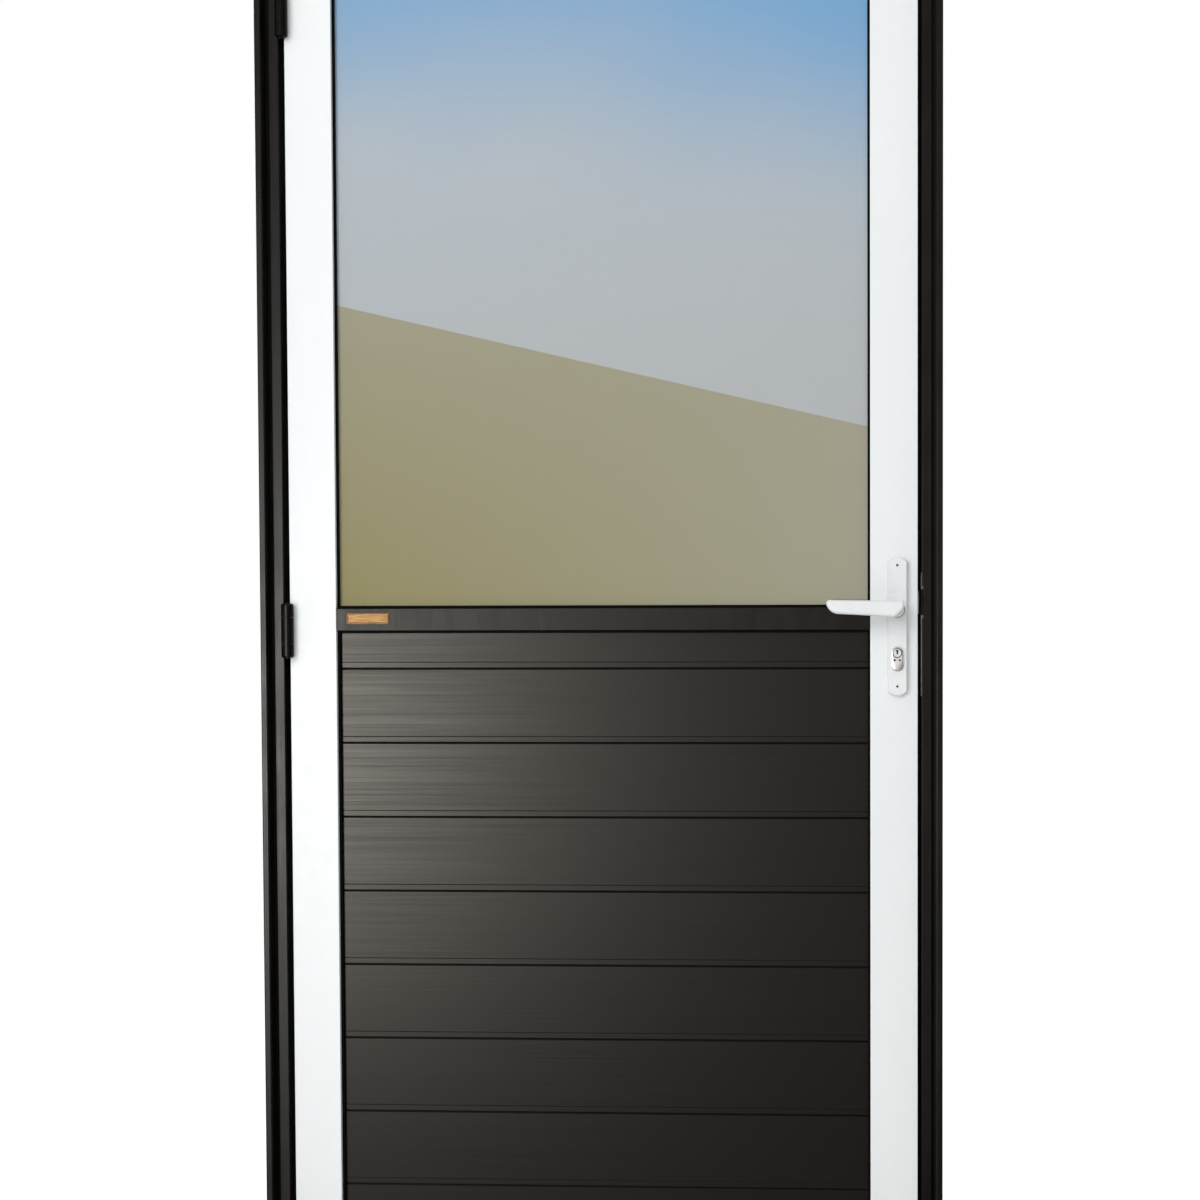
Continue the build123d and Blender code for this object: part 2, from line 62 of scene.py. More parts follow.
class Finish:
    """A coat or metal built on one shader, with short names for the patterns that a finisher thinks in."""

    def __init__(self, name, metallic=0.0, specular=0.5, gloss_tint=(1.0, 1.0, 1.0)):
        self.material = bpy.data.materials.new(name)
        self.material.use_nodes = True
        self.nodes = self.material.node_tree.nodes
        self.links = self.material.node_tree.links
        self.shader = self.nodes["Principled BSDF"]
        self.shader.inputs["Metallic"].default_value = metallic
        self.shader.inputs["Specular IOR Level"].default_value = specular
        self.shader.inputs["Specular Tint"].default_value = (*gloss_tint, 1.0)
        self.where = self.nodes.new("ShaderNodeTexCoord").outputs["Object"]
        self.relief = None

    def join(self, source, target):
        self.links.new(source, target)

    def stretch(self, x, y, z):
        node = self.nodes.new("ShaderNodeMapping")
        node.inputs["Scale"].default_value = (x, y, z)
        self.join(self.where, node.inputs["Vector"])
        return node.outputs["Vector"]

    def cloud(self, place, size, detail=4.0, soften=0.5, twist=0.0):
        node = self.nodes.new("ShaderNodeTexNoise")
        node.inputs["Scale"].default_value = size
        node.inputs["Detail"].default_value = detail
        node.inputs["Roughness"].default_value = soften
        node.inputs["Distortion"].default_value = twist
        self.join(place, node.inputs["Vector"])
        return node.outputs["Fac"]

    def grains(self, place, size):
        node = self.nodes.new("ShaderNodeTexVoronoi")
        node.inputs["Scale"].default_value = size
        self.join(place, node.inputs["Vector"])
        return node.outputs["Distance"]

    def axis(self, letter):
        node = self.nodes.new("ShaderNodeSeparateXYZ")
        self.join(self.where, node.inputs["Vector"])
        return node.outputs[letter]

    def spread(self, value, low, high, to_low, to_high, kind="LINEAR"):
        node = self.nodes.new("ShaderNodeMapRange")
        node.interpolation_type = kind
        for key, number in (("From Min", low), ("From Max", high), ("To Min", to_low), ("To Max", to_high)):
            node.inputs[key].default_value = number
        self.join(value, node.inputs["Value"])
        return node.outputs["Result"]

    def reckon(self, how, first, second=0.0):
        """One step of arithmetic on two values, each a pattern or a plain number."""
        node = self.nodes.new("ShaderNodeMath")
        node.operation = how
        for place, value in enumerate((first, second)):
            if isinstance(value, (int, float)):
                node.inputs[place].default_value = value
            else:
                self.join(value, node.inputs[place])
        return node.outputs["Value"]

    def plus(self, first, second):
        return self.reckon("ADD", first, second)

    def minus(self, first, second):
        return self.reckon("SUBTRACT", first, second)

    def times(self, first, second):
        return self.reckon("MULTIPLY", first, second)

    def unsigned(self, value):
        return self.reckon("ABSOLUTE", value)

    def tint(self, share, first, second):
        """The first colour where the share is 0, and the second where it is 1."""
        first_colour, second_colour, mixed_colour = 6, 7, 2
        node = self.nodes.new("ShaderNodeMix")
        node.data_type = "RGBA"
        self.join(share, node.inputs["Factor"])
        for key, value in ((first_colour, first), (second_colour, second)):
            if isinstance(value, tuple):
                node.inputs[key].default_value = (*value, 1.0)
            else:
                self.join(value, node.inputs[key])
        return node.outputs[mixed_colour]

    def colour(self, value):
        self.join(value, self.shader.inputs["Base Color"])

    def roughness(self, value):
        self.join(value, self.shader.inputs["Roughness"])

    def bump(self, height, strength, depth):
        node = self.nodes.new("ShaderNodeBump")
        node.inputs["Strength"].default_value = strength
        node.inputs["Distance"].default_value = depth
        self.join(height, node.inputs["Height"])
        if self.relief is not None:
            self.join(self.relief, node.inputs["Normal"])
        self.relief = node.outputs["Normal"]
        self.join(self.relief, self.shader.inputs["Normal"])


def charcoal_coat():
    """Dark powder coat on the frame and rails: a fine sandy texture, faint drawn lines and pale rubs."""
    coat = Finish("charcoal_coat", specular=0.16, gloss_tint=(1.0, 0.96, 0.90))
    mottle = coat.cloud(coat.stretch(1, 1, 0.35), 38, 6, 0.6)
    drawn = coat.cloud(coat.stretch(420, 420, 3.0), 1.0, 3, 0.6)
    base = coat.tint(coat.spread(mottle, 0.3, 0.7, 0, 1), (0.0040, 0.0037, 0.0032), (0.0080, 0.0074, 0.0064))
    rub = coat.cloud(coat.stretch(60, 60, 9), 1.0, 5, 0.65, 0.6)
    base = coat.tint(coat.spread(rub, 0.66, 0.80, 0, 0.35), base, (0.045, 0.042, 0.038))
    coat.colour(base)
    coat.roughness(coat.spread(coat.plus(mottle, drawn), 0.7, 1.3, 0.32, 0.44))
    coat.bump(drawn, 0.05, 0.0004)
    coat.bump(coat.cloud(coat.where, 1500, 2, 0.5), 0.10, 0.0003)
    return coat.material


def bronze_grain_coat():
    """Charcoal bronze coat on the planks, brushed along their length, each plank a shade of its own."""
    first_joint, plank_pitch = 206.7 * MM, 99 * MM
    dark, pale = (0.0040, 0.0036, 0.0030), (0.0110, 0.0098, 0.0080)
    coat = Finish("bronze_grain_coat", specular=0.20, gloss_tint=(1.0, 0.94, 0.84))
    fine = coat.cloud(coat.stretch(5, 40, 620), 1.0, 5, 0.62, 0.2)
    broad = coat.cloud(coat.stretch(1.4, 9, 95), 1.0, 4, 0.55)
    streak = coat.plus(coat.times(fine, 0.6), coat.times(broad, 0.4))
    base = coat.tint(coat.spread(streak, 0.36, 0.64, 0, 1), dark, pale)
    step = coat.reckon("DIVIDE", coat.minus(coat.axis("Z"), first_joint), plank_pitch)
    plank = coat.nodes.new("ShaderNodeTexWhiteNoise")
    plank.noise_dimensions = "1D"
    coat.join(coat.reckon("FLOOR", step), plank.inputs["W"])
    coat.colour(coat.tint(coat.spread(plank.outputs["Value"], 0, 1, 0, 0.22), base, dark))
    coat.roughness(coat.spread(streak, 0.36, 0.64, 0.39, 0.30))
    coat.bump(fine, 0.22, 0.00022)
    coat.bump(coat.cloud(coat.where, 1400, 2, 0.5), 0.06, 0.0002)
    return coat.material


def white_coat():
    """Satin white powder coat on the leaf: faint orange peel, with a little dust on its lowest part."""
    dust_top, dust_full = 0.42, 0.10
    coat = Finish("white_coat", specular=0.22)
    drift = coat.cloud(coat.stretch(3, 3, 1.1), 1.0, 4, 0.55)
    base = coat.tint(coat.spread(drift, 0.35, 0.65, 0, 1), (0.845, 0.868, 0.872), (0.875, 0.892, 0.893))
    low = coat.spread(coat.axis("Z"), dust_top, dust_full, 0, 1, "SMOOTHSTEP")
    patch = coat.spread(coat.cloud(coat.stretch(40, 40, 14), 1.0, 5, 0.6), 0.35, 0.7, 0.25, 1.0)
    dust = coat.times(coat.times(low, patch), 0.45)
    coat.colour(coat.tint(dust, base, (0.70, 0.69, 0.665)))
    coat.roughness(coat.spread(coat.cloud(coat.where, 55, 5, 0.6), 0.3, 0.7, 0.34, 0.46))
    coat.bump(coat.cloud(coat.where, 420, 2, 0.4), 0.05, 0.0004)
    return coat.material


def white_fittings():
    """Smoother white coat on the plates and levers, with fine hand rubs and a painted shade ring round the
    levers' necks.
    """
    coat = Finish("white_fittings", specular=0.35)
    drift = coat.cloud(coat.where, 30, 4, 0.5)
    base = coat.tint(coat.spread(drift, 0.35, 0.65, 0, 1), (0.80, 0.815, 0.822), (0.835, 0.848, 0.853))
    rub = coat.cloud(coat.stretch(25, 90, 160), 1.0, 5, 0.6, 0.4)
    base = coat.tint(coat.spread(rub, 0.62, 0.80, 0, 0.25), base, (0.70, 0.71, 0.71))
    # The dark ring round each lever's neck is painted shade.
    coat.colour(coat.tint(neck_painted_shade(coat, drift), base, (0.085, 0.090, 0.095)))
    coat.roughness(coat.spread(coat.plus(drift, rub), 0.7, 1.3, 0.24, 0.38))
    coat.bump(coat.cloud(coat.where, 650, 2, 0.4), 0.035, 0.0003)
    return coat.material


def neck_painted_shade(coat, drift):
    """The share of painted shade: a dark ring round the turning axis, where the levers' necks enter their
    bars.
    """
    ring_radius, ring_core, ring_edge = 9.3 * MM, 0.4 * MM, 1.4 * MM
    depth_start, depth_full, depth_fade, depth_end = 56.0 * MM, 64.0 * MM, 65.5 * MM, 67.2 * MM
    spindle_x, leaf_middle, spindle_z = middle_of("spindle")
    across = coat.minus(coat.axis("X"), spindle_x)
    up = coat.minus(coat.axis("Z"), spindle_z)
    squares = coat.plus(coat.reckon("POWER", across, 2), coat.reckon("POWER", up, 2))
    from_ring = coat.unsigned(coat.minus(coat.reckon("POWER", squares, 0.5), ring_radius))
    ring = coat.spread(from_ring, ring_core, ring_edge, 1, 0)
    from_middle = coat.unsigned(coat.minus(coat.axis("Y"), leaf_middle))
    outer = coat.spread(from_middle, depth_fade, depth_end, 1, 0)
    inner = coat.spread(from_middle, depth_start, depth_full, 0, 1)
    share = coat.times(coat.times(ring, outer), inner)
    return coat.times(share, coat.spread(drift, 0.3, 0.7, 0.65, 0.95))


def black_rubber():
    """Matte gasket rubber with a fine grain and a little dust."""
    coat = Finish("black_rubber", specular=0.06)
    grain = coat.cloud(coat.stretch(900, 900, 900), 1.0, 2, 0.5)
    dust = coat.cloud(coat.where, 70, 5, 0.65)
    dusty = coat.spread(dust, 0.5, 0.8, 0, 0.5)
    coat.colour(coat.tint(dusty, (0.0016, 0.0016, 0.0017), (0.0060, 0.0058, 0.0055)))
    coat.roughness(coat.spread(dust, 0.3, 0.7, 0.62, 0.82))
    coat.bump(grain, 0.15, 0.0003)
    return coat.material


def black_hinge_coat():
    """Satin black coat on the hinges, with small paler rubs."""
    coat = Finish("black_hinge_coat", specular=0.11, gloss_tint=(1.0, 0.95, 0.88))
    mottle = coat.cloud(coat.where, 160, 5, 0.6)
    rub = coat.cloud(coat.stretch(140, 140, 380), 1.0, 5, 0.65)
    base = coat.tint(coat.spread(mottle, 0.3, 0.7, 0, 1), (0.0022, 0.0021, 0.0020), (0.0050, 0.0048, 0.0045))
    coat.colour(coat.tint(coat.spread(rub, 0.62, 0.78, 0, 0.4), base, (0.020, 0.019, 0.018)))
    coat.roughness(coat.spread(mottle, 0.3, 0.7, 0.28, 0.44))
    coat.bump(coat.cloud(coat.where, 1300, 2, 0.5), 0.08, 0.0002)
    return coat.material


def brushed_metal(name, dark, pale, rough, grain):
    """A brushed metal: grain holds how tightly the brush marks lie along X, Y and Z."""
    stained = tuple(part * 0.55 for part in dark)
    coat = Finish(name, metallic=1.0)
    marks = coat.cloud(coat.stretch(*grain), 1.0, 4, 0.6)
    stain = coat.cloud(coat.where, 90, 5, 0.6)
    base = coat.tint(coat.spread(marks, 0.3, 0.7, 0, 1), dark, pale)
    coat.colour(coat.tint(coat.spread(stain, 0.52, 0.78, 0, 0.35), base, stained))
    coat.roughness(coat.spread(marks, 0.3, 0.7, rough + 0.10, rough))
    coat.bump(marks, 0.12, 0.0002)
    return coat.material


def zinc_case():
    """Zinc plate with its pale spangle."""
    coat = Finish("zinc_case", metallic=1.0)
    flakes = coat.grains(coat.where, 170)
    stain = coat.cloud(coat.where, 60, 5, 0.6)
    base = coat.tint(coat.spread(flakes, 0.1, 0.7, 0, 1), (0.42, 0.43, 0.44), (0.60, 0.60, 0.59))
    coat.colour(coat.tint(coat.spread(stain, 0.5, 0.8, 0, 0.4), base, (0.30, 0.29, 0.27)))
    coat.roughness(coat.spread(flakes, 0.1, 0.7, 0.50, 0.34))
    coat.bump(flakes, 0.10, 0.0003)
    return coat.material


def clear_glass():
    """Glass with a painted reflection of sky and ground: blue at the top, grey in the middle, and olive below
    a slanting line.
    """
    line_height, line_drop, line_blur = 1.5030, 0.2348, 0.0015
    blue, haze, grey = (0.215, 0.460, 0.740), (0.545, 0.600, 0.645), (0.540, 0.565, 0.575)
    khaki, olive, sand = (0.420, 0.400, 0.285), (0.345, 0.310, 0.138), (0.435, 0.420, 0.315)
    coat = Finish("clear_glass", specular=0.5)
    coat.shader.inputs["IOR"].default_value = 1.45
    coat.shader.inputs["Transmission Weight"].default_value = 0.55
    up = coat.axis("Z")
    across = coat.axis("X")
    drift = coat.cloud(coat.stretch(1.6, 1, 2.4), 1.0, 2, 0.5)
    lean = coat.plus(coat.plus(up, coat.times(across, 0.12)), coat.times(drift, 0.22))
    sky = coat.tint(coat.spread(lean, 2.14, 1.74, 0, 1, "SMOOTHSTEP"), blue, haze)
    sky = coat.tint(coat.spread(up, 1.75, 1.30, 0, 1, "SMOOTHSTEP"), sky, grey)
    low_left = coat.tint(coat.spread(up, 1.48, 1.08, 0, 1), khaki, olive)
    ground = coat.tint(coat.spread(across, 0.10, 0.80, 0, 1), low_left, sand)
    slant = coat.plus(up, coat.times(across, line_drop))
    sky_share = coat.spread(slant, line_height, line_height + line_blur, 0, 1)
    # The painted reflection of sky and ground becomes the glass's base colour.
    coat.colour(coat.tint(sky_share, ground, sky))
    coat.roughness(coat.spread(coat.cloud(coat.where, 25, 5, 0.6), 0.3, 0.7, 0.03, 0.07))
    coat.bump(coat.cloud(coat.where, 6, 2, 0.4), 0.02, 0.0005)
    return coat.material


ROUND_PIN = (300, 300, 2000)
ALONG_FACEPLATE = (1800, 1800, 30)
UPWARD = (1500, 1500, 60)
ALONG_RAIL = (60, 900, 2600)
EVEN = (900, 900, 900)

finishes = {
    "charcoal_coat": charcoal_coat(),
    "bronze_grain_coat": bronze_grain_coat(),
    "white_coat": white_coat(),
    "white_fittings": white_fittings(),
    "black_rubber": black_rubber(),
    "black_hinge_coat": black_hinge_coat(),
    "hinge_steel": brushed_metal("hinge_steel", (0.02, 0.02, 0.02), (0.05, 0.05, 0.05), 0.34, ROUND_PIN),
    "clear_glass": clear_glass(),
    "satin_steel": brushed_metal(
        "satin_steel", (0.46, 0.46, 0.45), (0.62, 0.62, 0.60), 0.30, ALONG_FACEPLATE),
    # A darker copy of the satin steel for the keep: painted shade of the narrow gap between leaf and frame.
    "dark_keep_steel": brushed_metal(
        "dark_keep_steel", (0.07, 0.068, 0.066), (0.20, 0.197, 0.19), 0.42, UPWARD),
    "zinc_case": zinc_case(),
    "satin_nickel": brushed_metal("satin_nickel", (0.66, 0.65, 0.62), (0.84, 0.83, 0.80), 0.34, UPWARD),
}
gold_brass = brushed_metal("gold_brass", (0.095, 0.051, 0.020), (0.165, 0.097, 0.043), 0.40, ALONG_RAIL)
screw_steel = brushed_metal("screw_steel", (0.40, 0.40, 0.40), (0.58, 0.58, 0.57), 0.28, EVEN)
# A dark metal put on the faces of recesses as painted shade.
recess_shade_metal = brushed_metal("recess_shade_metal", (0.015, 0.015, 0.015), (0.035, 0.035, 0.035), 0.36, EVEN)

for part in frame["record"]["subparts"]:
    shown = frame["nodes"][part["node"]].data.materials
    shown.clear()
    shown.append(finishes[part["material_slot"]])


# Small pieces shaped one by one

def deselect():
    bpy.ops.object.select_all(action="DESELECT")


def hold(piece):
    """Only this piece is selected, and it is the active one."""
    deselect()
    piece.select_set(True)
    bpy.context.view_layer.objects.active = piece


def begin(name):
    """The primitive just added becomes the piece's start, with nothing selected in its mesh."""
    piece = bpy.context.object
    piece.name = name
    piece.data.name = name
    bpy.ops.object.mode_set(mode="EDIT")
    bpy.ops.mesh.select_all(action="DESELECT")
    bpy.ops.object.mode_set(mode="OBJECT")
    return piece


def pick(piece, kind, wanted):
    """Selects only the faces, edges or vertices for which wanted is true, and opens edit mode on them."""
    leave()
    mesh = piece.data
    for group in (mesh.vertices, mesh.edges, mesh.polygons):
        for item in group:
            item.select = False
    for item in {"FACE": mesh.polygons, "EDGE": mesh.edges, "VERT": mesh.vertices}[kind]:
        item.select = bool(wanted(item))
    bpy.context.tool_settings.mesh_select_mode = [kind == each for each in ("VERT", "EDGE", "FACE")]
    bpy.ops.object.mode_set(mode="EDIT")


def leave():
    """Back from edit mode, if it is open."""
    if bpy.context.mode != "OBJECT":
        bpy.ops.object.mode_set(mode="OBJECT")


def settle(piece):
    """The piece's place goes into its mesh, so that its object sits at the origin."""
    hold(piece)
    bpy.ops.object.transform_apply(location=True, rotation=True, scale=True)


def apply_all(piece):
    hold(piece)
    for modifier in list(piece.modifiers):
        bpy.ops.object.modifier_apply(modifier=modifier.name)


def smooth(piece, degrees=35):
    hold(piece)
    bpy.ops.object.shade_smooth_by_angle(angle=math.radians(degrees))


def face_outward(piece):
    pick(piece, "FACE", lambda face: True)
    bpy.ops.mesh.normals_make_consistent(inside=False)
    leave()


def block(name, middle, size, turn=0.0):
    """A box with its middle and its size along X, Y and Z given, turned about Z."""
    deselect()
    bpy.ops.mesh.primitive_cube_add(size=1.0, location=middle, rotation=(0, 0, turn))
    box = begin(name)
    box.scale = size
    settle(box)
    return box


def rod(name, x, y, z, radius, length, sides=32):
    """A round bar along Y, its middle at the place given."""
    deselect()
    bpy.ops.mesh.primitive_cylinder_add(
        vertices=sides, radius=radius, depth=length, location=(x, y, z), rotation=(math.pi / 2, 0, 0))
    bar = begin(name)
    settle(bar)
    face_outward(bar)
    return bar


def cut_away(piece, cutter, how="DIFFERENCE"):
    """The cutter is taken from the piece, or joined to it, and then removed."""
    cut = piece.modifiers.new("cut", "BOOLEAN")
    cut.operation = how
    cut.solver = "EXACT"
    cut.object = cutter
    apply_all(piece)
    bpy.data.objects.remove(cutter)


def coat_and_shade_sunk_faces(piece, coat, is_sunk):
    """The piece gets its coat, and its sunk faces a dark metal as painted shade."""
    piece.data.materials.append(coat)
    piece.data.materials.append(recess_shade_metal)
    for face in piece.data.polygons:
        face.material_index = 1 if is_sunk(face.center) else 0


def hang(piece, body):
    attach(piece, body)


def bare_plate():
    """A plain gold plate on the mid rail: a raised rim round a flat, empty field."""
    left, right = 112.0 * MM, 168.2 * MM
    low, high = 1058.4 * MM, 1073.2 * MM
    thick = 1.2 * MM
    rim, slope, ledge = 1.1 * MM, 0.5 * MM, 0.8 * MM
    corner, edge_softness = 1.2 * MM, 0.18 * MM
    middle = ((left + right) / 2, -thick / 2, (low + high) / 2)
    plate = block("bare_plate", middle, (right - left, thick, high - low))
    pick(plate, "FACE", lambda face: face.normal.y < -0.9)
    bpy.ops.mesh.inset(thickness=rim)
    bpy.ops.mesh.inset(thickness=slope, depth=-slope)
    bpy.ops.mesh.inset(thickness=ledge)
    pick(plate, "EDGE", lambda edge: is_corner_edge(plate, edge, left, right, low, high))
    bpy.ops.mesh.bevel(offset=corner, segments=4)
    leave()
    soften = plate.modifiers.new("soften", "BEVEL")
    soften.width = edge_softness
    soften.segments = 2
    soften.limit_method = "ANGLE"
    apply_all(plate)
    smooth(plate)
    plate.data.materials.append(gold_brass)
    hang(plate, "leaf")


def is_corner_edge(piece, edge, left, right, low, high):
    """True for the four outer edges that run through the plate's thickness."""
    first, second = (piece.data.vertices[index].co for index in edge.vertices)
    near = 0.01 * MM
    along_depth = abs(first.y - second.y) > 0.5 * MM and abs(first.x - second.x) < near
    at_side = min(abs(first.x - left), abs(first.x - right)) < near
    at_end = min(abs(first.z - low), abs(first.z - high)) < near
    return along_depth and at_side and at_end


def key_cylinder():
    """The lock cylinder: a tall body with rounded ends, each face with a plug, its key slot and two pins."""
    low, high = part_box("lock_cylinder")
    front, back = low[Y], high[Y]
    radius = (high[X] - low[X]) / 2
    plug_x = middle_of("lock_cylinder")[X]
    plug_z = high[Z] - radius
    drop = plug_z - radius - low[Z]
    end_round = 0.8 * MM
    ring_radius, ring_depth = 6.3 * MM, 1.5 * MM
    plug_radius, plug_length, plug_sunk = 5.2 * MM, 3.0 * MM, 0.1 * MM
    bow_radius, bow_rise = 1.6 * MM, 2.8 * MM
    slot_width, slot_height, slot_rise, slot_depth = 1.8 * MM, 4.6 * MM, 0.5 * MM, 7.0 * MM
    pin_radius, pin_depth, pin_side, pin_drop = 1.4 * MM, 1.2 * MM, 3.3 * MM, 9.3 * MM

    body = rod("key_cylinder", plug_x, (front + back) / 2, plug_z, radius, back - front, 64)
    pick(body, "VERT", lambda vertex: vertex.co.z < plug_z - 0.01 * MM)
    bpy.ops.transform.translate(value=(0, 0, -drop))
    pick(body, "EDGE", lambda edge: is_end_edge(body, edge, front, back))
    bpy.ops.mesh.bevel(offset=end_round, segments=3)
    face_outward(body)
    for face, inward in ((front, 1), (back, -1)):
        cut_away(body, rod("gap", plug_x, face, plug_z, ring_radius, 2 * ring_depth, 48))
        plug_y = face + inward * (plug_sunk + plug_length / 2)
        cut_away(body, rod("plug", plug_x, plug_y, plug_z, plug_radius, plug_length, 48), "UNION")
        cut_away(body, rod("slot_top", plug_x, face, plug_z + bow_rise, bow_radius, 2 * slot_depth, 24))
        slot_size = (slot_width, 2 * slot_depth, slot_height)
        cut_away(body, block("slot", (plug_x, face, plug_z + slot_rise), slot_size))
        for side in (HINGE_SIDE, LOCK_SIDE):
            pin_x, pin_z = plug_x + side * pin_side, plug_z - pin_drop
            cut_away(body, rod("pin", pin_x, face, pin_z, pin_radius, 2 * pin_depth, 24))
    body.modifiers.new("flat", "TRIANGULATE")
    apply_all(body)
    smooth(body)

    def is_sunk(middle):
        depth = min(abs(middle.y - front), abs(middle.y - back))
        from_plug = math.hypot(middle.x - plug_x, middle.z - plug_z)
        from_pins = math.hypot(abs(middle.x - plug_x) - pin_side, middle.z - plug_z + pin_drop)
        spare = 0.1 * MM
        return depth > 0.3 * MM and (from_plug < ring_radius + spare or from_pins < pin_radius + spare)

    # The ring gap round each plug and the two pin holes get painted shade.
    coat_and_shade_sunk_faces(body, finishes["satin_nickel"], is_sunk)
    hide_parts("lock_cylinder")
    hang(body, "leaf")


def is_end_edge(piece, edge, front, back):
    """True for the edges round the front or the back end."""
    first, second = (piece.data.vertices[index].co.y for index in edge.vertices)
    near = 0.01 * MM
    return any(abs(first - end) < near and abs(second - end) < near for end in (front, back))


def cross_screw(name, coat, head, rise, shank, depth, recess):
    """A countersunk screw on the Z axis, its crown at rise above 0: shank, cone, crown and a cross recess
    with painted shade in it.
    """
    sink, rim = (head - shank) / 2, 0.15 * MM
    crown_steps = ((0.86, 0.55), (0.70, 0.85), (0.40, 1.0))
    hairline = 0.0001 * MM
    cross_width, cross_depth, cross_taper = recess * 0.34, 1.1 * MM, 0.55
    dark_reach, dark_bottom, dark_top = recess * 0.55, -1.6 * MM, -0.03 * MM
    deselect()
    bpy.ops.mesh.primitive_cylinder_add(
        vertices=32, radius=shank / 2, depth=depth, location=(0, 0, -depth / 2))
    screw = begin(name)
    settle(screw)
    pick(screw, "FACE", lambda face: face.normal.z > 0.9)
    bpy.ops.transform.translate(value=(0, 0, -sink))
    bpy.ops.mesh.extrude_region_move(TRANSFORM_OT_translate={"value": (0, 0, sink - rim)})
    bpy.ops.transform.resize(value=(head / shank, head / shank, 1), center_override=(0, 0, 0))
    bpy.ops.mesh.extrude_region_move(TRANSFORM_OT_translate={"value": (0, 0, rim)})
    for share, lift in crown_steps:
        bpy.ops.mesh.inset(thickness=hairline)
        leave()
        top = next(face for face in screw.data.polygons if face.select)
        inset = top.index
        wide = max(screw.data.vertices[index].co.xy.length for index in top.vertices)
        high = screw.data.vertices[top.vertices[0]].co.z
        pick(screw, "FACE", lambda face: face.index == inset)
        size = head / 2 * share / wide
        bpy.ops.transform.resize(value=(size, size, 1), center_override=(0, 0, high))
        bpy.ops.transform.translate(value=(0, 0, rise * lift - high))
    leave()
    for turn in (0, math.pi / 2):
        cutter = block(name + "_cutter", (0, 0, rise), (recess, cross_width, 2 * cross_depth), turn)
        pick(cutter, "FACE", lambda face: face.normal.z < -0.9)
        bpy.ops.transform.resize(value=(cross_taper, cross_taper, 1), center_override=(0, 0, rise))
        leave()
        cut_away(screw, cutter)
    smooth(screw, 30)

    def is_sunk(middle):
        return middle.xy.length < dark_reach and dark_bottom < middle.z < dark_top

    coat_and_shade_sunk_faces(screw, coat, is_sunk)
    return screw


def place_screw(pattern, name, place, out, body, turn):
    """A copy of the pattern with its own mesh, its crown facing along out, stopped at the turn in radians."""
    copy = pattern.copy()
    copy.data = pattern.data.copy()
    copy.name = name
    copy.data.name = name
    bpy.context.scene.collection.objects.link(copy)
    aim = Vector(out).to_track_quat("Z", "Y").to_matrix().to_4x4()
    copy.matrix_world = Matrix.Translation(place) @ aim @ Matrix.Rotation(turn, 4, "Z")
    settle(copy)
    hang(copy, body)


def plate_screws():
    """Two white screws in each long plate, one above the lever and one below the cylinder."""
    plate_thick, head_sunk = 8.5 * MM, 0.15 * MM
    from_top, from_bottom = 10.5 * MM, 12.5 * MM
    upper_turn, lower_turn = 0.3, 1.1
    spindle_x = middle_of("spindle")[X]
    leaf_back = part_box("lock_stile")[HIGH][Y]
    low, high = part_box("outside_plate")
    pattern = cross_screw("plate_screw", finishes["white_fittings"], head=8.0 * MM, rise=0.3 * MM,
                          shank=4.6 * MM, depth=8.2 * MM, recess=5.4 * MM)
    spots = (("upper", high[Z] - from_top, upper_turn), ("lower", low[Z] + from_bottom, lower_turn))
    for side, face, out in (("outside", -plate_thick, FRONT), ("inside", leaf_back + plate_thick, BACK)):
        for spot, height, turn in spots:
            place_screw(pattern, f"{side}_{spot}_plate_screw", (spindle_x, face - out * head_sunk, height),
                        (0, out, 0), "leaf", turn)
    bpy.data.objects.remove(pattern)


def lock_edge_screws():
    """Two steel screws in the keep and two in the lock's faceplate, each at an angle of its own."""
    from_end = 9 * MM
    pattern = cross_screw("keep_screw", screw_steel, head=6.6 * MM, rise=0.3 * MM,
                          shank=4.2 * MM, depth=2.7 * MM, recess=3.4 * MM)
    plates = (("strike_plate", "keep", "frame", LOW, HINGE_SIDE),
              ("lock_faceplate", "faceplate", "leaf", HIGH, LOCK_SIDE))
    for node, part, body, corner, out in plates:
        low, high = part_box(node)
        face = (low, high)[corner][X]
        middle = middle_of(node)[Y]
        for spot, height in (("upper", high[Z] - from_end), ("lower", low[Z] + from_end)):
            place_screw(pattern, f"{spot}_{part}_screw", (face, middle, height),
                        (out, 0, 0), body, height / MM)
    bpy.data.objects.remove(pattern)


def hinge_screws():
    """Three black screws in each leaf of each hinge, the middle one nearer to the barrel."""
    frame_leaf_face, door_leaf_face = 30.0 * MM, 33.0 * MM
    reach, near_barrel, far_from_barrel = 24 * MM, 12 * MM, 21 * MM
    pattern = cross_screw("hinge_screw", finishes["black_hinge_coat"], head=7.0 * MM, rise=0.25 * MM,
                          shank=4.2 * MM, depth=2.3 * MM, recess=3.6 * MM)
    spots = (("low", -reach, far_from_barrel), ("mid", 0, near_barrel), ("high", reach, far_from_barrel))
    sides = (("frame", frame_leaf_face, LOCK_SIDE), ("leaf", door_leaf_face, HINGE_SIDE))
    for hinge in ("bottom", "middle", "top"):
        centre = middle_of(f"{hinge}_hinge_frame_leaf")[Z]
        for spot, rise, inward in spots:
            for body, face, out in sides:
                place_screw(pattern, f"{hinge}_{spot}_{body}_screw", (face, inward, centre + rise),
                            (out, 0, 0), body, (centre + out * inward) / MM)
    bpy.data.objects.remove(pattern)


bare_plate()
key_cylinder()
plate_screws()
lock_edge_screws()
hinge_screws()


# Room, light and camera

